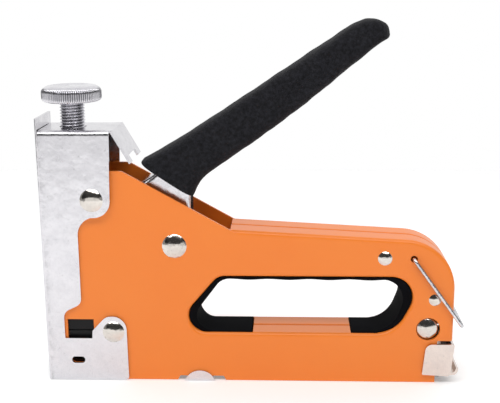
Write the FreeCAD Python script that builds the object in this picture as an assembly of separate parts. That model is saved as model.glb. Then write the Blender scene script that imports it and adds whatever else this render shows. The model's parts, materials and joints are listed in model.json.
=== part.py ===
import FreeCAD, Part
import os
from math import atan2, cos, degrees, hypot, pi, radians, sin, tan

# Hand staple gun (three-way tacker), millimetres.
# X runs from the nose's front face to the rear, Y across the tool and Z up from the face it rests on.
# The tool's middle plane is y = 0. The near side is -Y.

V = FreeCAD.Vector
os.makedirs("parts", exist_ok=True)

# ---------------------------------------------------------------- driving sizes
# pressed housing
SHELL_WIDTH = 21.6  # over both shells
SHELL_SHEET = 1.2
SHELL_BEND = 1.7  # outer radius of the rolled edges
SEAM = 0.9  # gap between the two shells' flanges
FLANGE_ROUND = 0.55  # on the flanges' outer edges along the seam
BODY_LENGTH = 175.7  # nose front to rear wall
ARM_FRONT_Z = 67.9  # top of the upper arm where it meets the sloping shoulder
ARM_REAR_Z = 62.6  # the arm's top line carried on to the rear wall
ARM_FRONT_X = 80.5
REAR_RADIUS = 22.0
SHOULDER_X = 35.2
SHOULDER_Z = 93.2
CAP_CUT_LENGTH = 6.7  # the rear corner is cut away for the magazine's end cap
CAP_CUT_Z = 19.0
WINDOW_FRONT_X = 9.2  # side window onto the bumper
WINDOW_REAR_X = 20.7
WINDOW_BOTTOM = 17.5
WINDOW_TOP = 27.7

# finger slot
SLOT_TOP = 47.3
SLOT_BOTTOM = 21.9
SLOT_FRONT_TOP_X = 75.0
SLOT_FRONT_BOTTOM_X = 53.4
SLOT_REAR_WALL = 12.1  # rear wall to the slot's upper rear corner
SLOT_REAR_SLANT = 13.0  # how far the lower rear corner stands in front of the upper one
SLOT_RADII = (6.4, 7.6, 14.0, 9.0)  # front top, front bottom, rear bottom, rear top
LINER_RADII = (7.0, 7.4, 13.0, 9.0)
LINER_WALL = 4.2
LINER_REAR_WALL = 1.5  # at the lower rear corner
LINER_TOP_WALL = 1.1
LINER_EDGE = 0.2  # from the shells' inner faces to the tails' edges
LINER_SHORT = 0.5  # the ring's edges stop short of the outer faces
LINER_TAIL = 22.7  # length of the liner's two tails on the lower shelf
LINER_REAR_TAIL = 11.4
LINER_PROUD = 0.3  # the tails stand this far above the shelf
LINER_TAIL_DEPTH = 2.2
TAIL_CUT_FRONT_RUN = 13.6  # the slot's lower corners to the outer ends of the shelf's cut-outs
TAIL_CUT_REAR_RUN = 7.0

# nose
NOSE_SHEET = 1.0
NOSE_FIT = 0.1  # between the shells, the cover and the bracket
NOSE_TOP = 115.4
NOSE_SIDE_TOP = 104.0
FOOT_REAR_X = 35.4
BRACKET_TOP = 110.5
BRACKET_REAR_X = 32.4
BRACKET_BEND = 2.2
TAB_REACH = 7.6  # how far the rear tab runs back, and down
TAB_DROP = 13.3

SIGHT_X = 13.5  # oval sight hole, low on each side
SIGHT_Z = 9.3
SIGHT_LENGTH = 5.8
SIGHT_ROUND = 1.5

# places of the cross rivets and pins, in X and Z
UPPER_RIVET = (22.6, 81.1)
LOWER_RIVET = (29.4, 22.3)
PIVOT = (56.7, 60.8)
FRONT_BODY_RIVET = (BODY_LENGTH - 29.9, ARM_REAR_Z - 6.8)
REAR_BODY_RIVET = (BODY_LENGTH - 8.3, 37.5)
WIRE_HOLE = (BODY_LENGTH - 17.7, ARM_REAR_Z - 7.0)
LATCH = (BODY_LENGTH - 11.2, 24.4)

UPPER_RIVET_HEAD = 4.9  # head radii
LOWER_RIVET_HEAD = 4.7
PIVOT_HEAD = 5.2
FRONT_BODY_RIVET_HEAD = 3.0
REAR_BODY_RIVET_HEAD = 2.6
LATCH_HEAD = 4.6
PIVOT_SHANK = 3.5
NOSE_SHANK = 2.2
BODY_SHANK = 1.6
DOME = 0.34  # height of a domed head as a share of its radius
BUTTON_RIM = 0.7  # flat inner heads of the short rivets
BUTTON_HEIGHT = 0.6
SPACER_WALL = 1.6
LATCH_SHANK = 2.6
LATCH_SUNK = 0.6  # the latch pin's rims lie this far inside the shells' faces
LATCH_RIM = 0.9
PRESS = 0.02  # radial gap of a riveted fit
RUNNING = 0.06  # radial gap of a turning fit

# power screw
SCREW_X = 13.6
SCREW_RADIUS = 5.3
THREAD_PITCH = 1.25
THREAD_DEPTH = 0.7
KNOB_RADIUS = 12.6
KNOB_BOTTOM = 121.3
KNOB_HEIGHT = 6.6
SEAT_TOP = 98.6
SEAT_THICKNESS = 4.0
SEAT_RADIUS = 8.7
NUT_RADIUS = 8.2
NUT_HEIGHT = 4.6
SPIGOT_HEIGHT = 3.0  # on the seat and the striker, inside the main spring

# hammer
STRIKER_BOTTOM = 29.0
STRIKER_REAR_X = 23.0
STRIKER_SIDE_GAP = 1.1  # striker to shell, each side
LIP_REACH = 6.3  # the lip that the claw lifts stands this far behind the striker
LIP_THICKNESS = 3.2
BLADE_FRONT_X = 1.4
BLADE_THICKNESS = 1.2
BLADE_WIDTH = 12.2
BLADE_BOTTOM = 1.5
BLADE_TOP = 52.0
STRIKER_RIVET = 1.5
STRIKER_RIVET_DROPS = (7.0, 15.0)  # below the striker's top
BUMPER_FRONT_X = 8.0
BUMPER_REAR_X = 22.0
BUMPER_BOTTOM = 18.2
BUMPER_GROOVE_Z = 22.0
BUMPER_GROOVE = 0.6  # width and depth
MAIN_SPRING_RADIUS = 6.6  # mean radius
MAIN_SPRING_WIRE = 1.2  # wire radius
MAIN_SPRING_TURNS = 6

# handle
HANDLE_SWING = 42.0  # degrees from open to closed
CLAW_RADIUS = 30.0  # pivot to the claw's toe
CLAW_PIN_RADIUS = 20.0  # pivot to the claw's own pin
CLAW_PIN = 2.0
CLAW_TOE_ROUND = 1.6
CLAW_GAP = 0.4  # under the striker's lip
CLAW_WIDTH = 6.4
LEVER_SIDE_GAP = 2.9  # lever to shell, each side
LEVER_SHEET = 1.2
LEVER_BEND = 2.0
GRIP_WALL = 4.4  # foam over the lever's sides
HANDLE_SPRING_RADIUS = 5.0
HANDLE_SPRING_WIRE = 0.6
HANDLE_SPRING_LENGTH = 9.0
HANDLE_SPRING_TURNS = 5

# magazine
CHANNEL_FRONT_X = 4.2
CHANNEL_REAR_GAP = 4.7  # rear wall to the end of the channel
CHANNEL_WIDTH = 14.8
CHANNEL_SHEET = 0.8
CHANNEL_BOTTOM = 1.1
CHANNEL_TOP = 15.0
RAIL_WIDTH = 10.4
RAIL_TOP = 13.2
RAIL_SHEET = 0.8
ROD_Z = 16.9
ROD_RADIUS = 1.1
ROD_FRONT_X = 24.5
PUSHER_FRONT_X = 26.5
PUSHER_LENGTH = 10.0
PUSHER_SPRING_RADIUS = 1.75
PUSHER_SPRING_WIRE = 0.3
PUSHER_SPRING_TURNS = 34

# wire lock
WIRE_RADIUS = 0.8
WIRE_LENGTH = 36.5
WIRE_GAP = 0.4  # between a leg and the grip that it passes
WIRE_ANGLE = -54.3  # degrees from +X, as it hangs
WIRE_BEND = 1.9

# bottom clip
CLIP_X = 66.6
CLIP_LENGTH = 13.2
CLIP_HEIGHT = 4.6
CLIP_SHEET = 0.7
CLIP_NOTCH_FRONT = 9.8  # notch in the shells' lower edge, from the clip's middle
CLIP_NOTCH_REAR = 11.4
CLIP_NOTCH_SLANT = 1.1
CLIP_NOTCH_HEIGHT = 1.9

CLEAR = 0.3  # general gap between pieces that only pass one another

# ---------------------------------------------------------------- worked out from them
SHELL_HALF = SHELL_WIDTH / 2
SHELL_INNER = SHELL_HALF - SHELL_SHEET
NOSE_INNER = SHELL_HALF + NOSE_FIT
NOSE_HALF = NOSE_INNER + NOSE_SHEET
BRACKET_INNER = NOSE_HALF + NOSE_FIT
BRACKET_HALF = BRACKET_INNER + NOSE_SHEET
LEVER_HALF = SHELL_INNER - LEVER_SIDE_GAP
LEVER_INNER = LEVER_HALF - LEVER_SHEET
GRIP_HALF = LEVER_HALF + GRIP_WALL
WIRE_HALF = GRIP_HALF + WIRE_GAP + WIRE_RADIUS
LINER_HALF = SHELL_INNER - LINER_EDGE
CAP_CUT_X = BODY_LENGTH - CAP_CUT_LENGTH
CHANNEL_REAR_X = BODY_LENGTH - CHANNEL_REAR_GAP
SLOT_REAR_TOP_X = BODY_LENGTH - SLOT_REAR_WALL
SLOT_REAR_BOTTOM_X = SLOT_REAR_TOP_X - SLOT_REAR_SLANT
TAIL_CUT_FRONT = SLOT_FRONT_BOTTOM_X + TAIL_CUT_FRONT_RUN
TAIL_CUT_REAR = SLOT_REAR_BOTTOM_X - TAIL_CUT_REAR_RUN
LINER_TAIL_FRONT = TAIL_CUT_FRONT + LINER_TAIL
LINER_TAIL_REAR = TAIL_CUT_REAR - LINER_REAR_TAIL
HALF_SWING = radians(HANDLE_SWING / 2)
CLAW_TOE = (PIVOT[0] - CLAW_RADIUS * cos(HALF_SWING), PIVOT[1] - CLAW_RADIUS * sin(HALF_SWING))
CLAW_PIN_AT = (
    PIVOT[0] - CLAW_PIN_RADIUS * cos(HALF_SWING),
    PIVOT[1] - CLAW_PIN_RADIUS * sin(HALF_SWING),
)
STRIKER_TOP = CLAW_TOE[1] + CLAW_TOE_ROUND + CLAW_GAP + LIP_THICKNESS
STRIKER_FRONT_X = BLADE_FRONT_X + BLADE_THICKNESS + NOSE_FIT


# ---------------------------------------------------------------- helpers
def outline(corners):
    """Closed wire in the XZ plane through corners (x, z, radius), each one rounded by a tangent arc."""
    edges = []
    last = None
    first = None
    count = len(corners)
    for i in range(count):
        x, z, radius = corners[i]
        here = V(x, 0, z)
        before = V(corners[i - 1][0], 0, corners[i - 1][1]) - here
        after = V(corners[(i + 1) % count][0], 0, corners[(i + 1) % count][1]) - here
        half = before.getAngle(after) / 2
        before.normalize()
        after.normalize()
        if radius:
            reach = radius / tan(half)
            start = here + before * reach
            end = here + after * reach
            inward = before + after
            inward.normalize()
            middle = here + inward * (radius / sin(half) - radius)
        else:
            start = here
            end = here
        if last is not None and (start - last).Length > 1e-6:
            edges.append(Part.LineSegment(last, start).toShape())
        if radius:
            edges.append(Part.Arc(start, middle, end).toShape())
        if first is None:
            first = start
        last = end
    if (first - last).Length > 1e-6:
        edges.append(Part.LineSegment(last, first).toShape())
    return Part.Wire(edges)


def plate(corners, y0, y1):
    """Flat piece with that outline, from y0 to y1."""
    face = Part.Face(outline(corners))
    face.translate(V(0, y0, 0))
    return face.extrude(V(0, y1 - y0, 0))


def block(x0, x1, y0, y1, z0, z1):
    return Part.makeBox(x1 - x0, y1 - y0, z1 - z0, V(x0, y0, z0))


def rod_y(place, radius, y0, y1):
    """Round bar across the tool at (x, z)."""
    return Part.makeCylinder(radius, y1 - y0, V(place[0], y0, place[1]), V(0, 1, 0))


def dome_y(place, radius, y, side):
    """Domed rivet head on the face at y, standing out towards side (-1 near, 1 far)."""
    height = radius * DOME
    ball = (radius**2 + height**2) / (2 * height)
    sphere = Part.makeSphere(ball, V(place[0], y + side * (height - ball), place[1]))
    low, high = sorted((y, y + side * height))
    return sphere.common(rod_y(place, radius, low, high))


def coil(radius, wire, length, turns):
    """Spring coil along +Z from the origin, wire centre to wire centre."""
    helix = Part.makeHelix(length / turns, length, radius)
    ring = Part.Wire(Part.makeCircle(wire, V(radius, 0, 0), V(0, 1, 0)))
    return Part.Wire(helix.Edges).makePipeShell([ring], True, True)


def mirrored(shape):
    return shape.mirror(V(0, 0, 0), V(0, 1, 0))


def joined(shapes):
    """One solid from pieces that touch or overlap."""
    whole = shapes[0]
    for shape in shapes[1:]:
        whole = whole.fuse(shape)
    return whole.removeSplitter()


def flat_edges(shape, y, keep):
    """Edges of shape that lie in the plane at y and whose middle passes keep(x, z)."""
    found = []
    for edge in shape.Edges:
        box = edge.BoundBox
        if abs(box.YMin - y) < 1e-4 and abs(box.YMax - y) < 1e-4:
            middle = edge.valueAt((edge.FirstParameter + edge.LastParameter) / 2)
            if keep(middle.x, middle.z):
                found.append(edge)
    return found


def along(start, end, share, side=0.0):
    """Point at that share of the way from start to end, moved by side to the left of the way."""
    dx = end[0] - start[0]
    dz = end[1] - start[1]
    length = hypot(dx, dz)
    return (start[0] + dx * share - dz / length * side, start[1] + dz * share + dx / length * side)


def save(name, *solids):
    shape = solids[0] if len(solids) == 1 else Part.makeCompound(list(solids))
    for solid in shape.Solids:
        if not solid.isValid():
            print("not valid:", name)
    print(f"{name}: {len(shape.Solids)} solid(s), {shape.Volume:.1f} mm3")
    shape.exportStep(f"parts/{name}.step")


def sight_hole(grown):
    """Bar through both sides for the oval sight hole, with the oval's end radius."""
    by = grown - SIGHT_ROUND
    low = SIGHT_Z - grown
    high = SIGHT_Z + grown
    front = SIGHT_X - SIGHT_LENGTH / 2 - by
    rear = SIGHT_X + SIGHT_LENGTH / 2 + by
    soft = grown * 0.97
    return plate(
        [(front, low, soft), (front, high, soft), (rear, high, soft), (rear, low, soft)],
        -SHELL_WIDTH,
        SHELL_WIDTH,
    )


# ---------------------------------------------------------------- pressed shells
slot_corners = [
    (SLOT_FRONT_TOP_X, SLOT_TOP, SLOT_RADII[0]),
    (SLOT_FRONT_BOTTOM_X, SLOT_BOTTOM, SLOT_RADII[1]),
    (SLOT_REAR_BOTTOM_X, SLOT_BOTTOM, SLOT_RADII[2]),
    (SLOT_REAR_TOP_X, SLOT_TOP, SLOT_RADII[3]),
]
slot_wire = outline(slot_corners)


def slot_grown(by):
    """Face of the finger slot, grown outwards by that much."""
    return Part.Face(slot_wire.makeOffset2D(by))


def on_arm(x, z):
    """Whether (x, z) is on the arm's top line or the rear wall."""
    on_top = x > ARM_FRONT_X + 1 and z > ARM_REAR_Z - 2
    on_rear = x > BODY_LENGTH - SLOT_REAR_WALL and z > CAP_CUT_Z + 2
    return on_top or on_rear


def on_slot(x, z):
    """Whether (x, z) is on the finger slot's edge."""
    return SLOT_FRONT_BOTTOM_X < x < BODY_LENGTH - SLOT_REAR_WALL and SLOT_BOTTOM - 1 < z < SLOT_TOP + 1


def shell():
    """Near half: a face plate, an inward flange over the arm and the rear, and one round the slot."""
    front = NOSE_SHEET + CLEAR
    body = plate(
        [
            (front, 0, 0),
            (front, SHOULDER_Z, 3),
            (SHOULDER_X, SHOULDER_Z, 4),
            (ARM_FRONT_X, ARM_FRONT_Z, 0),
            (BODY_LENGTH, ARM_REAR_Z, REAR_RADIUS),
            (BODY_LENGTH, CAP_CUT_Z, 0),
            (CAP_CUT_X, CAP_CUT_Z, 0.6),
            (CAP_CUT_X - 0.5, 0, 0),
        ],
        -SHELL_HALF,
        -SEAM / 2,
    )
    hole = slot_grown(0.001).extrude(V(0, 2 * SHELL_WIDTH, 0))
    hole.translate(V(0, -SHELL_WIDTH, 0))
    body = body.cut(hole)
    body = body.makeFillet(SHELL_BEND, flat_edges(body, -SHELL_HALF, on_arm))
    body = body.makeFillet(SHELL_BEND, flat_edges(body, -SHELL_HALF, on_slot))
    body = body.makeFillet(FLANGE_ROUND, flat_edges(body, -SEAM / 2, on_arm))
    body = body.makeFillet(FLANGE_ROUND, flat_edges(body, -SEAM / 2, on_slot))

    # the hollow behind the face plate, left solid round the slot
    sheet = SHELL_SHEET
    hollow = plate(
        [
            (-5, -5, 0),
            (-5, SHOULDER_Z + 8, 0),
            (SHOULDER_X + 4, SHOULDER_Z + 8, 0),
            (ARM_FRONT_X, ARM_FRONT_Z + 6, 0),
            (ARM_FRONT_X, ARM_FRONT_Z - sheet, 0),
            (BODY_LENGTH - sheet, ARM_REAR_Z - sheet, REAR_RADIUS - sheet),
            (BODY_LENGTH - sheet, CAP_CUT_Z - 1, 0),
            (BODY_LENGTH - sheet, -5, 0),
        ],
        -SHELL_INNER,
        SHELL_WIDTH,
    )
    island = slot_grown(sheet).extrude(V(0, 2 * SHELL_WIDTH, 0))
    island.translate(V(0, -SHELL_WIDTH, 0))
    body = body.cut(hollow.cut(island))

    # the lower shelf is cut away where the liner's tails lie
    tail_half = LINER_HALF + NOSE_FIT
    low = SLOT_BOTTOM - 3
    high = SLOT_BOTTOM + 1.2
    body = body.cut(block(TAIL_CUT_FRONT, LINER_TAIL_FRONT + NOSE_FIT, -tail_half, 1, low, high))
    body = body.cut(block(LINER_TAIL_REAR - NOSE_FIT, TAIL_CUT_REAR, -tail_half, 1, low, high))

    # holes
    cuts = [
        rod_y(PIVOT, PIVOT_SHANK + PRESS, -SHELL_WIDTH, 0),
        rod_y(UPPER_RIVET, NOSE_SHANK + PRESS, -SHELL_WIDTH, 0),
        rod_y(LOWER_RIVET, NOSE_SHANK + PRESS, -SHELL_WIDTH, 0),
        rod_y(FRONT_BODY_RIVET, BODY_SHANK + PRESS, -SHELL_WIDTH, 0),
        rod_y(REAR_BODY_RIVET, BODY_SHANK + PRESS, -SHELL_WIDTH, 0),
        rod_y(WIRE_HOLE, WIRE_RADIUS + 0.7, -SHELL_WIDTH, 0),
        rod_y((LATCH[0] + 0.4, LATCH[1] - 0.1), LATCH_HEAD + 0.5, -SHELL_WIDTH, -SHELL_INNER),
        block(WINDOW_FRONT_X, WINDOW_REAR_X, -SHELL_WIDTH, 0, WINDOW_BOTTOM, WINDOW_TOP),
        plate(
            [
                (CLIP_X - CLIP_NOTCH_FRONT, -2, 0),
                (CLIP_X - CLIP_NOTCH_FRONT, 0, 0),
                (CLIP_X - CLIP_NOTCH_FRONT + CLIP_NOTCH_SLANT, CLIP_NOTCH_HEIGHT, 0),
                (CLIP_X + CLIP_NOTCH_REAR - CLIP_NOTCH_SLANT, CLIP_NOTCH_HEIGHT, 0),
                (CLIP_X + CLIP_NOTCH_REAR, 0, 0),
                (CLIP_X + CLIP_NOTCH_REAR, -2, 0),
            ],
            -SHELL_WIDTH,
            0,
        ),
    ]
    for cut in cuts:
        body = body.cut(cut)
    return body.cut(sight_hole(SIGHT_ROUND + CLEAR))


near_shell = shell()
save("left_shell", near_shell)
save("right_shell", mirrored(near_shell))


# ---------------------------------------------------------------- finger slot liner
def liner():
    """Rubber ring round the slot, open along the middle of the lower shelf."""
    half = LINER_HALF
    ring_half = SHELL_HALF - LINER_SHORT
    floor = SLOT_BOTTOM + LINER_PROUD
    ring = slot_grown(-NOSE_FIT).extrude(V(0, 2 * ring_half, 0))
    ring.translate(V(0, -ring_half, 0))
    inner = plate(
        [
            (SLOT_FRONT_TOP_X + 1.0, SLOT_TOP - LINER_TOP_WALL, LINER_RADII[0]),
            (SLOT_FRONT_BOTTOM_X + LINER_WALL, floor, LINER_RADII[1]),
            (SLOT_REAR_BOTTOM_X - LINER_REAR_WALL, floor, LINER_RADII[2]),
            (SLOT_REAR_TOP_X - LINER_WALL, SLOT_TOP - LINER_TOP_WALL, LINER_RADII[3]),
        ],
        -ring_half,
        ring_half,
    )
    mouth = block(
        LINER_TAIL_FRONT, LINER_TAIL_REAR, -ring_half, ring_half, SLOT_BOTTOM - 1, SLOT_BOTTOM + 3
    )
    ring = ring.cut(inner).cut(mouth)
    # the tails reach down through the cut-outs of the shelf
    low = SLOT_BOTTOM - LINER_TAIL_DEPTH
    tails = [
        block(TAIL_CUT_FRONT + NOSE_FIT, LINER_TAIL_FRONT, -half, half, low, floor),
        block(LINER_TAIL_REAR, TAIL_CUT_REAR - NOSE_FIT, -half, half, low, floor),
    ]
    return joined([ring] + tails)


save("grip_liner", liner())


# ---------------------------------------------------------------- nose cover and bracket
def nose_cover():
    """U channel round the front: a front wall that stands above the bracket, and two shaped sides."""
    wall = block(0, NOSE_SHEET, -NOSE_HALF, NOSE_HALF, 0, NOSE_TOP)
    side_outline = [
        (0, 0, 0),
        (0, NOSE_SIDE_TOP, 1),
        (12, NOSE_SIDE_TOP, 3),
        (UPPER_RIVET[0] + 7.0, 90, 8),
        (UPPER_RIVET[0] + 7.4, 74.6, 7),
        (15.9, 72.6, 8),
        (15.9, 35.0, 4),
        (8.1, 31.2, 4),
        (8.1, 19.3, 0.3),
        (20.0, 19.3, 0.3),
        (20.2, 22.8, 1.5),
        (26.2, 29.2, 4.5),
        (FOOT_REAR_X - 0.4, 29.6, 6),
        (FOOT_REAR_X, 0, 1.5),
    ]
    near = plate(side_outline, -NOSE_HALF, -NOSE_INNER)
    body = joined([wall, near, mirrored(near)])
    corners = []
    for edge in body.Edges:
        box = edge.BoundBox
        if box.XMax < 1e-4 and abs(abs(box.YMin) - NOSE_HALF) < 1e-4 and box.YLength < 1e-4:
            corners.append(edge)
    body = body.makeFillet(NOSE_SHEET * 0.9, corners)
    body = body.cut(sight_hole(SIGHT_ROUND))
    for place in (UPPER_RIVET, LOWER_RIVET):
        body = body.cut(rod_y(place, NOSE_SHANK + PRESS, -SHELL_WIDTH, SHELL_WIDTH))
    return body


def top_bracket():
    """Inverted U over the nose: a top plate, two tapering ears and a notched tab that slopes down at the rear."""
    front = NOSE_SHEET + 0.4
    body = plate(
        [
            (front, BRACKET_TOP - 12, 0),
            (front, BRACKET_TOP, 0),
            (BRACKET_REAR_X - 1.4, BRACKET_TOP, 0),
            (UPPER_RIVET[0] + 7.6, 73.8, 7.2),
            (13.6, 73.4, 5),
            (3.4, 101.5, 0),
        ],
        -BRACKET_HALF,
        BRACKET_HALF,
    )
    bends = []
    for edge in body.Edges:
        box = edge.BoundBox
        if box.ZMin > BRACKET_TOP - 1e-4 and box.XLength > 5:
            bends.append(edge)
    body = body.makeFillet(BRACKET_BEND, bends)
    hollow = block(-5, 60, -BRACKET_INNER, BRACKET_INNER, 60, BRACKET_TOP - NOSE_SHEET)
    body = body.cut(hollow)
    body = body.cut(rod_y(UPPER_RIVET, NOSE_SHANK + PRESS, -SHELL_WIDTH, SHELL_WIDTH))
    body = body.cut(
        Part.makeCylinder(SCREW_RADIUS + CLEAR, 5, V(SCREW_X, 0, BRACKET_TOP - 3), V(0, 0, 1))
    )
    # rear tab
    length = hypot(TAB_REACH, TAB_DROP)
    tab = Part.makeBox(length, 2 * BRACKET_HALF, NOSE_SHEET, V(0, -BRACKET_HALF, -NOSE_SHEET))
    tab = tab.cut(block(length - 3.0, length + 1, -0.66 * BRACKET_HALF, 0.5 * BRACKET_HALF, -5, 5))
    tab.rotate(V(0, 0, 0), V(0, 1, 0), degrees(atan2(TAB_DROP, TAB_REACH)))
    tab.translate(V(BRACKET_REAR_X, 0, BRACKET_TOP))
    fold = block(
        BRACKET_REAR_X - 2.5, BRACKET_REAR_X, -BRACKET_HALF + 1.2, BRACKET_HALF - 1.2,
        BRACKET_TOP - NOSE_SHEET, BRACKET_TOP
    )
    return joined([body, fold, tab])


save("nose_cover", nose_cover())
save("top_bracket", top_bracket())

nut = Part.makeCylinder(
    NUT_RADIUS, NUT_HEIGHT, V(SCREW_X, 0, BRACKET_TOP - NOSE_SHEET - NUT_HEIGHT), V(0, 0, 1)
)
nut = nut.cut(Part.makeCylinder(SCREW_RADIUS + RUNNING, 10, V(SCREW_X, 0, BRACKET_TOP - 10), V(0, 0, 1)))
save("screw_nut", nut)


# ---------------------------------------------------------------- rivets and pins
def through_rivet(place, shank, head, half):
    """Cross rivet with a domed head on each side, seated on faces at -half and half."""
    bar = rod_y(place, shank, -half, half)
    return joined([bar, dome_y(place, head, -half, -1), dome_y(place, head, half, 1)])


def short_rivet(place, shank, head, half, inner):
    """Near-side rivet that only grips the sheets: domed outside, a flat button inside."""
    bar = rod_y(place, shank, -half, -inner)
    button = rod_y(place, shank + BUTTON_RIM, -inner, -inner + BUTTON_HEIGHT)
    return joined([bar, button, dome_y(place, head, -half, -1)])


upper = short_rivet(UPPER_RIVET, NOSE_SHANK, UPPER_RIVET_HEAD, BRACKET_HALF, SHELL_INNER)
save("upper_nose_rivets", upper, mirrored(upper))
save("lower_nose_rivet", through_rivet(LOWER_RIVET, NOSE_SHANK, LOWER_RIVET_HEAD, NOSE_HALF))
save("lever_pivot_pin", through_rivet(PIVOT, PIVOT_SHANK, PIVOT_HEAD, SHELL_HALF))
save(
    "body_rivets",
    through_rivet(FRONT_BODY_RIVET, BODY_SHANK, FRONT_BODY_RIVET_HEAD, SHELL_HALF),
    through_rivet(REAR_BODY_RIVET, BODY_SHANK, REAR_BODY_RIVET_HEAD, SHELL_HALF),
)
spacers = []
for place in (FRONT_BODY_RIVET, REAR_BODY_RIVET):
    tube = rod_y(place, BODY_SHANK + SPACER_WALL, -SHELL_INNER + 0.05, SHELL_INNER - 0.05)
    spacers.append(tube.cut(rod_y(place, BODY_SHANK + PRESS, -SHELL_WIDTH, SHELL_WIDTH)))
save("rivet_spacers", *spacers)

latch_half = SHELL_HALF - LATCH_SUNK
save("latch_pin", joined([
    rod_y(LATCH, LATCH_SHANK, -latch_half, latch_half),
    rod_y(LATCH, LATCH_HEAD, -latch_half, -latch_half + LATCH_RIM),
    rod_y(LATCH, LATCH_HEAD, latch_half - LATCH_RIM, latch_half),
    dome_y(LATCH, LATCH_HEAD, -latch_half, -1),
    dome_y(LATCH, LATCH_HEAD, latch_half, 1),
]))


# ---------------------------------------------------------------- power screw, seat and main spring
def power_screw():
    """Thumb screw: a round knob on a threaded shank, turned as one profile about its axis."""
    bottom = SEAT_TOP + CLEAR
    core = SCREW_RADIUS - THREAD_DEPTH
    profile = [V(0, 0, bottom), V(core, 0, bottom)]
    z = bottom + 0.6
    while z + THREAD_PITCH < KNOB_BOTTOM - 0.6:
        profile += [V(core, 0, z), V(SCREW_RADIUS, 0, z + THREAD_PITCH * 0.45),
                    V(SCREW_RADIUS, 0, z + THREAD_PITCH * 0.55)]
        z += THREAD_PITCH
    top = KNOB_BOTTOM + KNOB_HEIGHT
    profile += [
        V(core, 0, z),
        V(core, 0, KNOB_BOTTOM),
        V(KNOB_RADIUS - 1.4, 0, KNOB_BOTTOM),
        V(KNOB_RADIUS, 0, KNOB_BOTTOM + 1.2),
        V(KNOB_RADIUS, 0, top - 1.8),
        V(KNOB_RADIUS - 1.8, 0, top),
        V(0, 0, top),
    ]
    face = Part.Face(Part.makePolygon(profile + [profile[0]]))
    screw = face.revolve(V(0, 0, 0), V(0, 0, 1), 360)
    screw.translate(V(SCREW_X, 0, 0))
    return screw


save("power_screw", power_screw())

seat_bottom = SEAT_TOP - SEAT_THICKNESS
seat = Part.makeCylinder(SEAT_RADIUS, SEAT_THICKNESS, V(SCREW_X, 0, seat_bottom), V(0, 0, 1))
spigot = Part.makeCylinder(
    MAIN_SPRING_RADIUS - MAIN_SPRING_WIRE - CLEAR, SPIGOT_HEIGHT,
    V(SCREW_X, 0, seat_bottom - SPIGOT_HEIGHT), V(0, 0, 1)
)
save("spring_seat", joined([seat, spigot]))

spring_low = STRIKER_TOP + MAIN_SPRING_WIRE + 0.1
spring_high = seat_bottom - MAIN_SPRING_WIRE - 0.1
main_spring = coil(MAIN_SPRING_RADIUS, MAIN_SPRING_WIRE, spring_high - spring_low, MAIN_SPRING_TURNS)
main_spring.translate(V(SCREW_X, 0, spring_low))
save("main_spring", main_spring)


# ---------------------------------------------------------------- striker and blade
def striker():
    """Steel block under the main spring, with the lip at its rear that the claw lifts."""
    half = SHELL_INNER - STRIKER_SIDE_GAP
    body = block(STRIKER_FRONT_X, STRIKER_REAR_X, -half, half, STRIKER_BOTTOM, STRIKER_TOP)
    lip_half = CLAW_WIDTH / 2 + 1.0
    lip_bottom = STRIKER_TOP - LIP_THICKNESS
    lip = block(STRIKER_REAR_X - 1, STRIKER_REAR_X + LIP_REACH, -lip_half, lip_half, lip_bottom, STRIKER_TOP)
    spigot = Part.makeCylinder(
        MAIN_SPRING_RADIUS - MAIN_SPRING_WIRE - CLEAR, SPIGOT_HEIGHT, V(SCREW_X, 0, STRIKER_TOP), V(0, 0, 1)
    )
    body = joined([body, lip, spigot])
    for drop in STRIKER_RIVET_DROPS:
        body = body.cut(Part.makeCylinder(STRIKER_RIVET + PRESS, 8, V(0, 0, STRIKER_TOP - drop), V(1, 0, 0)))
    return body


save("striker_block", striker())

blade_half = BLADE_WIDTH / 2
blade = block(BLADE_FRONT_X, BLADE_FRONT_X + BLADE_THICKNESS, -blade_half, blade_half, BLADE_BOTTOM, BLADE_TOP)
striker_rivets = []
for drop in STRIKER_RIVET_DROPS:
    level = STRIKER_TOP - drop
    blade = blade.cut(Part.makeCylinder(STRIKER_RIVET + PRESS, 8, V(0, 0, level), V(1, 0, 0)))
    striker_rivets.append(Part.makeCylinder(STRIKER_RIVET, 6.3, V(BLADE_FRONT_X + 0.05, 0, level), V(1, 0, 0)))
save("driver_blade", blade)
save("striker_rivets", *striker_rivets)

guide = block(
    NOSE_SHEET + 0.15, BLADE_FRONT_X + BLADE_THICKNESS, -SHELL_INNER + CLEAR, -blade_half - CLEAR,
    BLADE_BOTTOM, STRIKER_BOTTOM - 1
)
save("blade_guides", guide, mirrored(guide))

bumper_half = SHELL_INNER - 0.2
bumper = block(
    BUMPER_FRONT_X, BUMPER_REAR_X, -bumper_half, bumper_half, BUMPER_BOTTOM, STRIKER_BOTTOM - CLEAR
)
for side in (-1, 1):
    low, high = sorted((side * bumper_half, side * (bumper_half - BUMPER_GROOVE)))
    bumper = bumper.cut(block(
        BUMPER_FRONT_X - 1, BUMPER_REAR_X + 1, low - 0.001, high + 0.001,
        BUMPER_GROOVE_Z, BUMPER_GROOVE_Z + BUMPER_GROOVE
    ))
save("striker_bumper", bumper)


# ---------------------------------------------------------------- handle
lever_corners = [
    (27.6, 77.4, 1),
    (48.0, 90.6, 12),
    (53.5, 96.6, 12),
    (139.3, 150.4, 2),
    (141.8, 146.8, 2),
    (138.0, 144.4, 3),
    (107.0, 119.4, 40),
    (72.6, 94.2, 8),
    (63.8, 85.6, 6),
    (63.6, 66.0, 6),
    (66.2, 52.2, 8),
    (32.0, 46.8, 5),
    (31.6, 58.0, 4),
]


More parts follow.
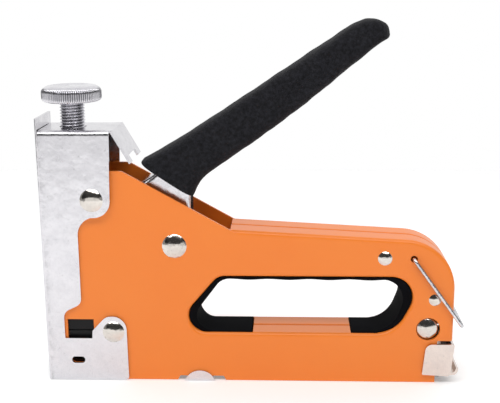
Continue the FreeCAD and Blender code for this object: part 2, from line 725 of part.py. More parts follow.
def lever():
    """U channel, open below: two side plates and the web along the top edge."""
    body = plate(lever_corners, -LEVER_HALF, LEVER_HALF)
    bends = []
    for edge in body.Edges:
        box = edge.BoundBox
        middle = edge.valueAt((edge.FirstParameter + edge.LastParameter) / 2)
        top_line = 77.4 + 0.6 * (middle.x - 27.6) - 1
        if box.YLength < 1e-4 and middle.z > top_line and middle.x < 139.5:
            bends.append(edge)
    body = body.makeFillet(LEVER_BEND, bends)
    hollow = plate(
        [
            (20, 71.2, 0),
            (48.4, 89.4, 12),
            (54.3, 95.6, 12),
            (139.0, 148.7, 1),
            (140.2, 146.9, 0),
            (142.0, 138.0, 0),
            (80, 74, 0),
            (80, 40, 0),
            (20, 40, 0),
        ],
        -LEVER_INNER,
        LEVER_INNER,
    )
    body = body.cut(hollow)
    body = body.cut(rod_y(PIVOT, PIVOT_SHANK + RUNNING, -SHELL_WIDTH, SHELL_WIDTH))
    return body.cut(rod_y(CLAW_PIN_AT, CLAW_PIN + PRESS, -SHELL_WIDTH, SHELL_WIDTH))


save("lever", lever())


def grip_sleeve():
    """Foam sleeve over the lever: an oblique mouth, a slight taper and a rounded end."""
    half = GRIP_HALF
    body = plate(
        [
            (44.0, 95.6, 1.5),
            (51.5, 101.0, 15),
            (134.8, 154.8, 4),
            (143.4, 153.9, 2),
            (146.4, 147.6, 2),
            (141.0, 144.6, 4),
            (108.1, 117.4, 60),
            (71.0, 90.4, 7),
            (65.3, 82.0, 1),
            (57.5, 87.0, 18),
            (47.0, 91.6, 3),
        ],
        -half,
        half,
    )
    top = []
    for edge in body.Edges:
        box = edge.BoundBox
        middle = edge.valueAt((edge.FirstParameter + edge.LastParameter) / 2)
        if box.YLength < 1e-4 and middle.x > 60 and middle.z > 95:
            top.append(edge)
    body = body.makeFillet(1.2, top)
    core = plate(lever_corners, -LEVER_HALF, LEVER_HALF)
    return body.cut(core)


save("grip_sleeve", grip_sleeve())

save("hook_pin", rod_y(CLAW_PIN_AT, CLAW_PIN, -LEVER_HALF, LEVER_HALF))


def lift_hook():
    """Claw on its own pin in the lever, whose toe lies under the striker's lip."""
    half = CLAW_WIDTH / 2
    heel = CLAW_PIN_AT
    toe = CLAW_TOE
    round_toe = CLAW_TOE_ROUND
    body = joined([
        rod_y(heel, CLAW_PIN + 1.8, -half, half),
        rod_y(toe, round_toe, -half, half),
        plate(
            [
                along(heel, toe, 0, round_toe + 1.8) + (0,),
                along(heel, toe, 1, round_toe) + (0,),
                along(heel, toe, 1, -round_toe) + (0,),
                along(heel, toe, 0.3, -round_toe) + (0,),
                along(heel, toe, 0, -round_toe - 1.8) + (0,),
            ],
            -half,
            half,
        ),
    ])
    return body.cut(rod_y(CLAW_PIN_AT, CLAW_PIN + RUNNING, -SHELL_WIDTH, SHELL_WIDTH))


save("lift_hook", lift_hook())

handle_spring = coil(HANDLE_SPRING_RADIUS, HANDLE_SPRING_WIRE, HANDLE_SPRING_LENGTH, HANDLE_SPRING_TURNS)
handle_spring.rotate(V(0, 0, 0), V(1, 0, 0), -90)
handle_spring.translate(V(PIVOT[0], -HANDLE_SPRING_LENGTH / 2, PIVOT[1]))
save("handle_spring", handle_spring)


# ---------------------------------------------------------------- magazine
half = CHANNEL_WIDTH / 2
channel = block(CHANNEL_FRONT_X, CHANNEL_REAR_X, -half, half, CHANNEL_BOTTOM, CHANNEL_TOP)
channel = channel.cut(block(
    0, BODY_LENGTH, -half + CHANNEL_SHEET, half - CHANNEL_SHEET, CHANNEL_BOTTOM + CHANNEL_SHEET, CHANNEL_TOP + 1
))
save("magazine_channel", channel.cut(sight_hole(SIGHT_ROUND + CLEAR)))

rail_half = RAIL_WIDTH / 2
rail = block(CHANNEL_FRONT_X, CHANNEL_REAR_X - 2, -rail_half, rail_half,
             CHANNEL_BOTTOM + CHANNEL_SHEET, RAIL_TOP)
rail = rail.cut(
    block(0, BODY_LENGTH, -rail_half + RAIL_SHEET, rail_half - RAIL_SHEET, 0, RAIL_TOP - RAIL_SHEET)
)
save("staple_rail", rail)


def pusher():
    """Follower: a saddle that runs on the rail, with a collar round the rod."""
    x0 = PUSHER_FRONT_X
    x1 = x0 + PUSHER_LENGTH
    outer = half - CHANNEL_SHEET - 0.15
    inner = rail_half + 0.25
    saddle = block(x0, x1, -outer, outer, CHANNEL_BOTTOM + CHANNEL_SHEET + 0.6, RAIL_TOP + 1.4)
    saddle = saddle.cut(block(x0 - 1, x1 + 1, -inner, inner, 0, RAIL_TOP + 0.25))
    collar = block(x0, x0 + 5, -2.6, 2.6, RAIL_TOP + 0.6, ROD_Z + 2.4)
    body = joined([saddle, collar])
    return body.cut(Part.makeCylinder(ROD_RADIUS + RUNNING, 30, V(x0 - 5, 0, ROD_Z), V(1, 0, 0)))


save("staple_pusher", pusher())

cap_outer = SHELL_HALF + CLEAR + NOSE_SHEET
cap_inner = SHELL_HALF + CLEAR


def end_cap():
    """Magazine end piece: a U that wraps the rear corner, with a curled finger lip."""
    rear = BODY_LENGTH
    sides = [
        (rear - 12.9, 3.9, 0.5),
        (rear - 11.5, 17.8, 3),
        (rear + 0.7, 17.8, 0.5),
        (rear - 0.8, 3.2, 1.5),
    ]
    body = plate(sides, -cap_outer, cap_outer)
    body = body.cut(
        plate([(rear - 25, -1, 0), (rear - 25, 30, 0), (rear + 1.0, 30, 0), (rear - 0.5, 17.8, 0),
               (rear - 2.0, 3.0, 0), (rear - 2.3, -1, 0)],
              -cap_inner, cap_inner)
    )
    lip = plate(
        [(rear - 1.9, 3.9, 0), (rear - 1.7, 5.0, 0), (rear + 0.9, 5.0, 1.5), (rear + 1.7, 7.2, 0),
         (rear + 2.7, 6.8, 0), (rear + 1.9, 3.9, 2)],
        -cap_outer,
        cap_outer,
    )
    return joined([body, lip])


save("end_cap", end_cap())

rod = Part.makeCylinder(ROD_RADIUS, BODY_LENGTH - 1.1 - ROD_FRONT_X, V(ROD_FRONT_X, 0, ROD_Z), V(1, 0, 0))
stop = Part.makeCylinder(ROD_RADIUS + 0.9, 1.2, V(ROD_FRONT_X, 0, ROD_Z), V(1, 0, 0))
save("guide_rod", joined([rod, stop]))

coil_start = PUSHER_FRONT_X + 5 + PUSHER_SPRING_WIRE + 0.2
coil_end = BODY_LENGTH - 2.7
pusher_spring = coil(PUSHER_SPRING_RADIUS, PUSHER_SPRING_WIRE, coil_end - coil_start, PUSHER_SPRING_TURNS)
pusher_spring.rotate(V(0, 0, 0), V(0, 1, 0), 90)
pusher_spring.translate(V(coil_start, 0, ROD_Z))
save("pusher_spring", pusher_spring)


def magazine_clip():
    """Strap across the underside with a half-moon ear on each side."""
    radius = (CLIP_LENGTH**2 / 4 + CLIP_HEIGHT**2) / (2 * CLIP_HEIGHT)
    y0 = SHELL_HALF + 0.1
    y1 = y0 + CLIP_SHEET
    disc = rod_y((CLIP_X, CLIP_HEIGHT - radius), radius, -y1, -y0)
    ear = disc.common(block(CLIP_X - 20, CLIP_X + 20, -20, 0, 0, 20))
    strap = block(CLIP_X - CLIP_LENGTH / 2 + 1, CLIP_X + CLIP_LENGTH / 2 - 1, -y1, y1, 0, CLIP_SHEET)
    return joined([ear, strap, mirrored(ear)])


save("magazine_clip", magazine_clip())


# ---------------------------------------------------------------- wire lock
def wire_lock():
    """U of round wire: its two ends turn in the shells' holes, and its cross bar hangs behind the tool."""
    stub = SHELL_INNER - 1.2
    bend = WIRE_BEND
    reach = WIRE_LENGTH
    slant = 1 - cos(pi / 4)
    points = [
        ("line", V(0, -stub, 0), V(0, -WIRE_HALF + bend, 0)),
        ("arc", V(0, -WIRE_HALF + bend, 0), V(bend * slant, -WIRE_HALF + bend * slant, 0),
         V(bend, -WIRE_HALF, 0)),
        ("line", V(bend, -WIRE_HALF, 0), V(reach - bend, -WIRE_HALF, 0)),
        ("arc", V(reach - bend, -WIRE_HALF, 0), V(reach - bend * slant, -WIRE_HALF + bend * slant, 0),
         V(reach, -WIRE_HALF + bend, 0)),
        ("line", V(reach, -WIRE_HALF + bend, 0), V(reach, 0, 0)),
    ]
    edges = []
    for kind, *ends in points:
        if kind == "line":
            edges.append(Part.LineSegment(*ends).toShape())
        else:
            edges.append(Part.Arc(*ends).toShape())
    path = Part.Wire(edges)
    ring = Part.Wire(Part.makeCircle(WIRE_RADIUS, V(0, -stub, 0), V(0, 1, 0)))
    near = path.makePipeShell([ring], True, False)
    body = joined([near, mirrored(near)])
    body.rotate(V(0, 0, 0), V(0, 1, 0), -WIRE_ANGLE)
    body.translate(V(WIRE_HOLE[0], 0, WIRE_HOLE[1]))
    return body


save("wire_lock", wire_lock())
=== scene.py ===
# %% [markdown]
# # A hand staple gun, dressed over its CAD frame
# The CAD model gives every part its place, size and motion. This script loads it as a fixed
# frame, sets up a camera and a soft studio, and then goes piece by piece: sheet metal keeps its
# CAD shape and gets a finish, while foam, rubber, knurled and sprung pieces are modelled anew as
# surfaces of two parameters and stand in for their plain CAD solids.

import json
import math

import bpy
import numpy as np
from mathutils import Matrix, Vector


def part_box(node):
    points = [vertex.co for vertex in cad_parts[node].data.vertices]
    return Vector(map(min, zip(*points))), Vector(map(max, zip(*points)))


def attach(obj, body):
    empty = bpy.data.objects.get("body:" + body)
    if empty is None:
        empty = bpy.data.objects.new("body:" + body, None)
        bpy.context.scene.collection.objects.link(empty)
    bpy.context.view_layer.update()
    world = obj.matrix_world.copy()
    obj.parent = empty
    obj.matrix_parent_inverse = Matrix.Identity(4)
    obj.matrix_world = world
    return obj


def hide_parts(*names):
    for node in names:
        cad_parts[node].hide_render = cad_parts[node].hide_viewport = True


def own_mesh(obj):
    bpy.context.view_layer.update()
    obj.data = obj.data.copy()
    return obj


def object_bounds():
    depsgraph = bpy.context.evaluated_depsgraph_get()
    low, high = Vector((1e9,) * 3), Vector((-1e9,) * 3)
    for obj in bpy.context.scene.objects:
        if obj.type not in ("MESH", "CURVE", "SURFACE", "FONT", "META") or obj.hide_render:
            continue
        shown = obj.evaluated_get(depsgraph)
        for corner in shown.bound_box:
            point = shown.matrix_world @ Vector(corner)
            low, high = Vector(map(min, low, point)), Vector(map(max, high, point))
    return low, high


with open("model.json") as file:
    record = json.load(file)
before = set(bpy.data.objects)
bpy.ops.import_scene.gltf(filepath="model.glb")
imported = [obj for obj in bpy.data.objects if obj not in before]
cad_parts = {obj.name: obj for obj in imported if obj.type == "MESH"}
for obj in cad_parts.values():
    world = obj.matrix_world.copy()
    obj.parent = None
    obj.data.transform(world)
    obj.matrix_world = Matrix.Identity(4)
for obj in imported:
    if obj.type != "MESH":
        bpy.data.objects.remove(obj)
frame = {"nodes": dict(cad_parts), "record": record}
cad_low, cad_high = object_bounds()
MM = 0.001
print("CAD box in mm:", [round(v / MM, 1) for v in (cad_high - cad_low)])

# %% [markdown]
# ## Where the pieces are
# The screw's axis, the widths of the grip and the liner, and the ends of the springs are read from
# the CAD nodes' own boxes. The side outlines of the grip and the slot, and the screw's profile, are
# named points in the same millimetres.

# %% Boxes and joint places
def node_box(name):
    """Lowest and highest corner of a CAD node in millimetres, as two arrays."""
    low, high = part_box(name)
    return np.array(low) / MM, np.array(high) / MM


knob_low, knob_high = node_box("power_screw")
screw_x = (knob_low[0] + knob_high[0]) / 2
print("screw axis at x =", round(float(screw_x), 2), "mm")

# %% [markdown]
# ## The camera
# The view is a product shot: a long lens, a little above the tool and almost square to its side,
# turned a few degrees so that the front of the nose just shows. The camera's axes are built from
# pitch, yaw and roll, which is easier to check than a set of Euler angles.

# %% Camera
PITCH_DOWN = math.radians(13.47)
YAW_LEFT = math.radians(2.46)
ROLL = math.radians(0.43)
CAMERA_AT = Vector((0.1050, -0.3832, 0.1697))
LENS = 66.1  # mm
SENSOR = 36  # mm across
CLIP_NEAR = 0.01
CLIP_FAR = 100


def studio_camera():
    """Camera whose forward axis is +Y turned left by the yaw and down by the pitch, then rolled
    about itself."""
    forward = Vector((
        -math.sin(YAW_LEFT) * math.cos(PITCH_DOWN),
        math.cos(YAW_LEFT) * math.cos(PITCH_DOWN),
        -math.sin(PITCH_DOWN),
    ))
    level_right = Vector((math.cos(YAW_LEFT), math.sin(YAW_LEFT), 0))
    level_down = forward.cross(level_right)
    right = math.cos(ROLL) * level_right + math.sin(ROLL) * level_down
    up = math.sin(ROLL) * level_right - math.cos(ROLL) * level_down
    turn = Matrix((right, up, -forward)).transposed()
    data = bpy.data.cameras.new("studio_camera")
    data.lens = LENS
    data.sensor_width = SENSOR
    data.clip_start = CLIP_NEAR
    data.clip_end = CLIP_FAR
    camera = bpy.data.objects.new("studio_camera", data)
    camera.matrix_world = Matrix.Translation(CAMERA_AT) @ turn.to_4x4()
    bpy.context.scene.collection.objects.link(camera)
    bpy.context.scene.camera = camera
    return camera


camera = studio_camera()
bpy.context.scene.view_settings.view_transform = "Standard"  # plain colours, as in a catalogue
looks_along = camera.matrix_world.to_3x3() @ Vector((0, 0, -1))
print("camera looks along", [round(v, 3) for v in looks_along])

# %% [markdown]
# ## Small shader helpers
# The world and every material are node trees, and these few functions build them. Most add one
# node and give back its output, so a finish reads as a chain of calls.

# %% Shader helpers
# a Mix node holds its number sockets and its colour sockets side by side
MIX_FACTOR = 0
MIX_NUMBERS = (2, 3)
MIX_NUMBER_OUT = 0
MIX_COLORS = (6, 7)
MIX_COLOR_OUT = 2


def feed(tree, socket, value):
    """Links an output to a socket, or sets a number or a colour as the socket's own value."""
    if isinstance(value, bpy.types.NodeSocket):
        tree.links.new(value, socket)
    elif isinstance(value, tuple):
        socket.default_value = (*value, 1)
    else:
        socket.default_value = value


def new_material(name, color, metallic, roughness):
    """Material with a Principled BSDF; gives back the material, its tree and the BSDF."""
    material = bpy.data.materials.new(name)
    material.use_nodes = True
    tree = material.node_tree
    shader = tree.nodes["Principled BSDF"]
    shader.inputs["Base Color"].default_value = (*color, 1)
    shader.inputs["Metallic"].default_value = metallic
    shader.inputs["Roughness"].default_value = roughness
    material.diffuse_color = (*color, 1)
    return material, tree, shader


def new_group(name, inputs, outputs):
    """Empty shader group with float or vector sockets and defaults."""
    group = bpy.data.node_groups.new(name, "ShaderNodeTree")
    for label, kind, default in inputs:
        socket = group.interface.new_socket(label, in_out="INPUT", socket_type="NodeSocket" + kind)
        if default is not None:
            socket.default_value = default
    for label, kind in outputs:
        group.interface.new_socket(label, in_out="OUTPUT", socket_type="NodeSocket" + kind)
    start = group.nodes.new("NodeGroupInput")
    end = group.nodes.new("NodeGroupOutput")
    return group, start, end


def object_coords(tree):
    """Object coordinates, in metres, the same for every piece because all sit at the origin."""
    return tree.nodes.new("ShaderNodeTexCoord").outputs["Object"]


def math_node(tree, operation, first, second=None, clamp=False):
    """One arithmetic step on outputs or numbers."""
    node = tree.nodes.new("ShaderNodeMath")
    node.operation = operation
    node.use_clamp = clamp
    feed(tree, node.inputs[0], first)
    if second is not None:
        feed(tree, node.inputs[1], second)
    return node.outputs[0]


def noise(tree, vector, scale, detail=3.0, roughness=0.5):
    """Noise value around 0.5 at a scale in features per metre."""
    node = tree.nodes.new("ShaderNodeTexNoise")
    feed(tree, node.inputs["Scale"], scale)
    node.inputs["Detail"].default_value = detail
    node.inputs["Roughness"].default_value = roughness
    tree.links.new(vector, node.inputs["Vector"])
    return node.outputs["Fac"]


def remap(tree, value, from_range, to_range, smooth=False):
    """Remap of a value, clamped at both ends: a straight line, or eased at both ends if smooth."""
    node = tree.nodes.new("ShaderNodeMapRange")
    if smooth:
        node.interpolation_type = "SMOOTHSTEP"
    labels = ("From Min", "From Max", "To Min", "To Max")
    for label, number in zip(labels, (*from_range, *to_range)):
        node.inputs[label].default_value = number
    tree.links.new(value, node.inputs["Value"])
    return node.outputs["Result"]


def blend_colors(tree, factor, first, second):
    """Mix of two colours (or colour outputs) by a factor output."""
    node = tree.nodes.new("ShaderNodeMix")
    node.data_type = "RGBA"
    tree.links.new(factor, node.inputs[MIX_FACTOR])
    for index, color in zip(MIX_COLORS, (first, second)):
        feed(tree, node.inputs[index], color)
    return node.outputs[MIX_COLOR_OUT]


def shade(color, share):
    """A colour darkened to a share of itself."""
    return tuple(share * v for v in color)


def bump(tree, height, strength, distance, normal=None):
    """Bump from a height output; distance in metres."""
    node = tree.nodes.new("ShaderNodeBump")
    node.inputs["Strength"].default_value = strength
    node.inputs["Distance"].default_value = distance
    tree.links.new(height, node.inputs["Height"])
    if normal is not None:
        tree.links.new(normal, node.inputs["Normal"])
    return node.outputs["Normal"]


print("helpers ready")

# %% [markdown]
# ## The studio
# White all round, as in a light tent, with one long softbox above and in front. Polished metal
# only looks like metal when there is something dark for it to reflect, so the tent has a dark
# opening on the side that the camera looks in through, and its two ends are dim. The background
# itself stays white for the camera.

# %% World and softbox
TENT = 0.96  # brightness of the tent's walls
OPENING = 0.05  # and of the dark opening, as a share of that
SIDES = 0.35  # and of the tent's far ends, left and right
# a direction is a unit vector, and each edge fades in between its two values
OPENING_FRONT_Y = (-0.32, -0.5)
OPENING_BOTTOM_Z = (0.02, 0.1)
OPENING_TOP_Z = (0.985, 0.95)
ENDS_X = (0.62, 0.85)
WHOLE = (0, 1)

BOX_AT = (0.05, -0.45, 0.75)
BOX_FACES = (0.09, 0, 0.06)
BOX_WIDTH = 1.3
BOX_DEPTH = 0.2
BOX_POWER = 4.6


def tent_world():
    """World whose light is TENT times a share. The share falls to OPENING in a patch of
    directions near -Y and to SIDES near +X and -X. Camera rays see plain white."""
    world = bpy.data.worlds.new("light_tent")
    world.use_nodes = True
    tree = world.node_tree
    tree.nodes.clear()
    place = tree.nodes.new("ShaderNodeTexCoord")
    split = tree.nodes.new("ShaderNodeSeparateXYZ")
    tree.links.new(place.outputs["Generated"], split.inputs[0])
    x, y, z = (split.outputs[axis] for axis in "XYZ")

    def fade(source, edge, to_range=WHOLE):
        """Eased change from one end of to_range to the other across an edge."""
        return remap(tree, source, edge, to_range, smooth=True)

    front = math_node(tree, "MULTIPLY", fade(y, OPENING_FRONT_Y), fade(z, OPENING_BOTTOM_Z))
    front = math_node(tree, "MULTIPLY", front, fade(z, OPENING_TOP_Z))
    ends = fade(math_node(tree, "ABSOLUTE", x), ENDS_X)
    share = math_node(tree, "MULTIPLY", fade(front, WHOLE, (1, OPENING)),
                      fade(ends, WHOLE, (1, SIDES)))
    seen = tree.nodes.new("ShaderNodeLightPath").outputs["Is Camera Ray"]
    strength = math_node(tree, "MAXIMUM", math_node(tree, "MULTIPLY", share, TENT), seen)
    light = tree.nodes.new("ShaderNodeBackground")
    light.inputs["Color"].default_value = (1, 1, 1, 1)
    tree.links.new(strength, light.inputs["Strength"])
    out = tree.nodes.new("ShaderNodeOutputWorld")
    tree.links.new(light.outputs[0], out.inputs["Surface"])
    bpy.context.scene.world = world


def softbox(name, place, target, width, depth, power):
    """Long area light at place, facing target; domed heads show it as a thin line, not a
    square."""
    data = bpy.data.lights.new(name, "AREA")
    data.shape = "RECTANGLE"
    data.size = width
    data.size_y = depth
    data.energy = power
    lamp = bpy.data.objects.new(name, data)
    lamp.location = place
    lamp.rotation_mode = "QUATERNION"
    lamp.rotation_quaternion = (Vector(target) - Vector(place)).to_track_quat("-Z", "Y")
    bpy.context.scene.collection.objects.link(lamp)


tent_world()
softbox("overhead_softbox", BOX_AT, BOX_FACES, BOX_WIDTH, BOX_DEPTH, BOX_POWER)
print("tent walls at", TENT, "and a softbox of", BOX_POWER, "W")

# %% [markdown]
# ## Shared effects
# One group serves every finish: soft cloudy patches with finer flecks inside them, which is how
# plated sheet, paint, rubber and foam vary. Each material places it with its own patch size.

# %% Cloudy patches
LARGE_DETAIL = 2
FLECK_DETAIL = 4
FLECK_FINER = 5  # times the patches' scale
NOISE_MIDDLE = 0.5


def cloudy_group():
    """Value from 0 to 1: large noise plus a share of noise five times finer, spread about its
    middle by the contrast."""
    group, start, end = new_group(
        "cloudy_patches",
        [("Vector", "Vector", None), ("Patches", "Float", 60.0), ("Fleck share", "Float", 0.3),
         ("Contrast", "Float", 2.0)],
        [("Mask", "Float")],
    )
    given = start.outputs
    large = noise(group, given["Vector"], given["Patches"], LARGE_DETAIL)
    finer = math_node(group, "MULTIPLY", given["Patches"], FLECK_FINER)
    fleck = noise(group, given["Vector"], finer, FLECK_DETAIL)
    both = group.nodes.new("ShaderNodeMix")
    group.links.new(given["Fleck share"], both.inputs[MIX_FACTOR])
    for index, value in zip(MIX_NUMBERS, (large, fleck)):
        group.links.new(value, both.inputs[index])
    centred = math_node(group, "SUBTRACT", both.outputs[MIX_NUMBER_OUT], NOISE_MIDDLE)
    spread = math_node(group, "MULTIPLY", centred, given["Contrast"])
    mask = math_node(group, "ADD", spread, NOISE_MIDDLE, clamp=True)
    group.links.new(mask, end.inputs["Mask"])
    return group


cloudy = cloudy_group()


def clouds(tree, vector, patches, fleck_share, contrast):
    """Mask of cloudy patches, with patches in features per metre."""
    node = tree.nodes.new("ShaderNodeGroup")
    node.node_tree = cloudy
    tree.links.new(vector, node.inputs["Vector"])
    for label, number in (("Patches", patches), ("Fleck share", fleck_share),
                          ("Contrast", contrast)):
        node.inputs[label].default_value = number
    return node.outputs["Mask"]


print("cloudy_patches has", len(cloudy.nodes), "nodes")

# %% [markdown]
# ## Orange paint
# Stoved enamel over pressed steel: an even satin orange whose gloss varies a little, with a very
# fine orange-peel ripple. The ripple is a bump, because it is far thinner than the sheet.

# %% Orange paint
ORANGE = (0.98, 0.258, 0.030)
ORANGE_DEEP = (0.955, 0.230, 0.022)


def orange_paint():
    """Enamel that drifts between the two oranges, under a thin clear coat."""
    material, tree, shader = new_material("orange_enamel", ORANGE, metallic=0.0, roughness=0.38)
    where = object_coords(tree)
    patches = clouds(tree, where, patches=25.0, fleck_share=0.25, contrast=1.6)
    tree.links.new(blend_colors(tree, patches, ORANGE_DEEP, ORANGE), shader.inputs["Base Color"])
    tree.links.new(remap(tree, patches, WHOLE, (0.33, 0.45)), shader.inputs["Roughness"])
    peel = noise(tree, where, scale=900.0, detail=2.0)
    ripple = bump(tree, peel, strength=0.12, distance=0.0002)
    tree.links.new(ripple, shader.inputs["Normal"])
    shader.inputs["Coat Weight"].default_value = 0.25
    shader.inputs["Coat Roughness"].default_value = 0.22
    shader.inputs["Specular IOR Level"].default_value = 0.35
    return material


orange = orange_paint()
print("orange enamel between", ORANGE_DEEP, "and", ORANGE)

# %% [markdown]
# ## Bright plating
# The nose, bracket, lever and end cap are bright-plated sheet. The sheet is never truly flat, so
# its reflections break into soft patches; here a slow bump bends them, and the colour drifts
# between silver and a faint lilac grey.

# %% Plated sheet and plated turned parts
SPECK_NOISE = (0.66, 0.74)  # noise values over which a speck comes in
SPECK_SHARE = 0.35
SPECK_SHADE = 0.4
SMUDGE_NOISE = (0.45, 0.66)
SMUDGE_SHARE = 0.3
SMUDGE_SHADE = 0.25
WORN_FROM = 1.5 * MM  # x from which smudges thin out
FRONT_EDGE = (0.9 * MM, 1.3 * MM)  # x where the nose's front face turns into its side
ON_FRONT = 0.08  # share of the smudges that the front face keeps
# painted shade: the knurl's and the thread's valleys are darkened towards this colour, where shade
# would fall in them
GROOVE_DEPTHS = (0.2, 0.95)
GROOVE_SHARE = 0.65
GROOVE_PAINTED_SHADE = (0.06, 0.06, 0.07)
GLOSS_SWING = (1.5, 0.7)  # times the roughness, in the dark and in the light patches
SLOW_FINER = 1.3  # scale of the slow bump, times the patches'
FINE_FINER = 9.0
FINE_SHARE = 0.5  # strength of the fine bump, times the slow one's


def smudges(tree, where, worn_x):
    """Mask of smudges on the nose's sides within worn_x mm of its front edge."""
    split = tree.nodes.new("ShaderNodeSeparateXYZ")
    tree.links.new(where, split.inputs[0])
    near_edge = remap(tree, split.outputs["X"], (WORN_FROM, worn_x * MM), (1, 0))
    off_front = remap(tree, split.outputs["X"], FRONT_EDGE, (ON_FRONT, 1))
    blotches = noise(tree, where, scale=320.0, detail=5.0, roughness=0.7)
    mask = remap(tree, blotches, SMUDGE_NOISE, (0, SMUDGE_SHARE))
    for share in (near_edge, off_front):
        mask = math_node(tree, "MULTIPLY", share, mask)
    return mask


def plated(name, light, dark, roughness, waviness, patches, worn_x=None, groove=False):
    """Plated metal: colour and gloss drift over cloudy patches, and a slow bump bends the
    reflections. Smudges darken it near the nose's front edge where worn_x is given, and where
    groove is asked for, painted shade darkens the valleys by the attribute groove."""
    material, tree, shader = new_material(name, light, metallic=1.0, roughness=roughness)
    where = object_coords(tree)
    mask = clouds(tree, where, patches, fleck_share=0.45, contrast=2.2)
    color = blend_colors(tree, mask, dark, light)
    dust = noise(tree, where, scale=900.0, detail=2.0, roughness=0.6)
    specks = remap(tree, dust, SPECK_NOISE, (0, SPECK_SHARE))
    color = blend_colors(tree, specks, color, shade(dark, SPECK_SHADE))
    if worn_x is not None:
        color = blend_colors(tree, smudges(tree, where, worn_x), color, shade(dark, SMUDGE_SHADE))
    # painted shade in the valleys of the knurl and the thread, by the depth stored in the attribute
    # groove
    if groove:
        depth = tree.nodes.new("ShaderNodeAttribute")
        depth.attribute_name = "groove"
        painted_valley_shade = remap(tree, depth.outputs["Fac"], GROOVE_DEPTHS, (0, GROOVE_SHARE))
        color = blend_colors(tree, painted_valley_shade, color, GROOVE_PAINTED_SHADE)
    tree.links.new(color, shader.inputs["Base Color"])
    gloss = remap(tree, mask, WHOLE, tuple(roughness * swing for swing in GLOSS_SWING))
    tree.links.new(gloss, shader.inputs["Roughness"])
    slow = noise(tree, where, patches * SLOW_FINER, detail=2.0)
    fine = noise(tree, where, patches * FINE_FINER, detail=3.0)
    bent = bump(tree, slow, strength=waviness, distance=0.002)
    bent = bump(tree, fine, strength=waviness * FINE_SHARE, distance=0.0002, normal=bent)
    tree.links.new(bent, shader.inputs["Normal"])
    return material


chrome = plated("bright_plated_sheet", (0.73, 0.72, 0.745), (0.65, 0.64, 0.67),
                roughness=0.2, waviness=0.12, patches=140.0, worn_x=4.0)
# painted reflection: the end cap's warm tint stands in for the orange paint reflected in its
# plating
cap_painted_reflection = plated("cap_painted_orange_reflection", (0.78, 0.69, 0.63), (0.66, 0.58, 0.54),
                   roughness=0.16, waviness=0.2, patches=120.0)
# painted shade: both screw finishes take the groove attribute, which darkens the valleys of the
# knurl and the thread
screw_metal = plated("plated_screw", (0.80, 0.79, 0.82), (0.60, 0.59, 0.63),
                     roughness=0.2, waviness=0.08, patches=200.0, groove=True)
thread_metal = plated("thread_painted_groove_shade", (0.84, 0.83, 0.87), (0.62, 0.61, 0.65),
                      roughness=0.24, waviness=0.08, patches=200.0, groove=True)
rivet_metal = plated("nickel_rivets", (0.76, 0.72, 0.67), (0.58, 0.54, 0.50),
                     roughness=0.12, waviness=0.22, patches=160.0)
wire_metal = plated("bright_wire", (0.80, 0.80, 0.82), (0.45, 0.45, 0.47),
                    roughness=0.12, waviness=0.25, patches=260.0)
steel = plated("bare_steel", (0.24, 0.235, 0.23), (0.13, 0.125, 0.12),
               roughness=0.34, waviness=0.1, patches=120.0)
spring_metal = plated("spring_steel", (0.32, 0.31, 0.32), (0.20, 0.19, 0.20),
                      roughness=0.3, waviness=0.05, patches=200.0)
print(len(bpy.data.materials), "materials so far")

# %% [markdown]
# ## Rubber, foam and plastic
# The slot liner is moulded rubber, dark and dull; the grip is closed-cell foam, finely pitted; the
# striker's bumper is plain black plastic, a little glossier. The pits are cells from a Voronoi
# pattern, small enough to be a bump.

# %% Soft blacks
RUBBER_TONES = ((0.003, 0.003, 0.0035), (0.007, 0.007, 0.009))
FOAM_TONES = ((0.003, 0.003, 0.004), (0.017, 0.017, 0.022))
FOAM_PATCH = (0.005, 0.005, 0.007)
FOAM_PATCH_SHARE = 0.35
PLASTIC_TONES = ((0.004, 0.004, 0.005), (0.009, 0.009, 0.010))


def rubber():
    """Moulded rubber with a very fine grain."""
    material, tree, shader = new_material("black_rubber", (0.010, 0.010, 0.012),
                                          metallic=0.0, roughness=0.55)
    where = object_coords(tree)
    mask = clouds(tree, where, patches=80.0, fleck_share=0.4, contrast=2.0)
    tree.links.new(blend_colors(tree, mask, *RUBBER_TONES), shader.inputs["Base Color"])
    tree.links.new(remap(tree, mask, WHOLE, (0.8, 0.9)), shader.inputs["Roughness"])
    grain = noise(tree, where, scale=2500.0, detail=2.0)
    tree.links.new(bump(tree, grain, strength=0.25, distance=0.0001), shader.inputs["Normal"])
    shader.inputs["Specular IOR Level"].default_value = 0.04
    return material


def foam():
    """Closed-cell foam: speckled tone, with darker patches, and two bumps for pits and grain."""
    material, tree, shader = new_material("black_foam", (0.016, 0.016, 0.020),
                                          metallic=0.0, roughness=0.85)
    where = object_coords(tree)
    cells = tree.nodes.new("ShaderNodeTexVoronoi")
    cells.inputs["Scale"].default_value = 1300.0
    tree.links.new(where, cells.inputs["Vector"])
    grain = noise(tree, where, scale=700.0, detail=4.0, roughness=0.65)
    mask = clouds(tree, where, patches=150.0, fleck_share=0.5, contrast=2.0)
    speckle = blend_colors(tree, remap(tree, grain, (0.35, 0.65), WHOLE), *FOAM_TONES)
    tone = blend_colors(tree, remap(tree, mask, WHOLE, (0.0, FOAM_PATCH_SHARE)), speckle,
                        FOAM_PATCH)
    tree.links.new(tone, shader.inputs["Base Color"])
    tree.links.new(remap(tree, mask, WHOLE, (0.75, 0.95)), shader.inputs["Roughness"])
    pitted = bump(tree, cells.outputs["Distance"], strength=0.6, distance=0.00025)
    pitted = bump(tree, grain, strength=0.5, distance=0.0003, normal=pitted)
    tree.links.new(pitted, shader.inputs["Normal"])
    shader.inputs["Specular IOR Level"].default_value = 0.22
    shader.inputs["Sheen Weight"].default_value = 0.03
    return material


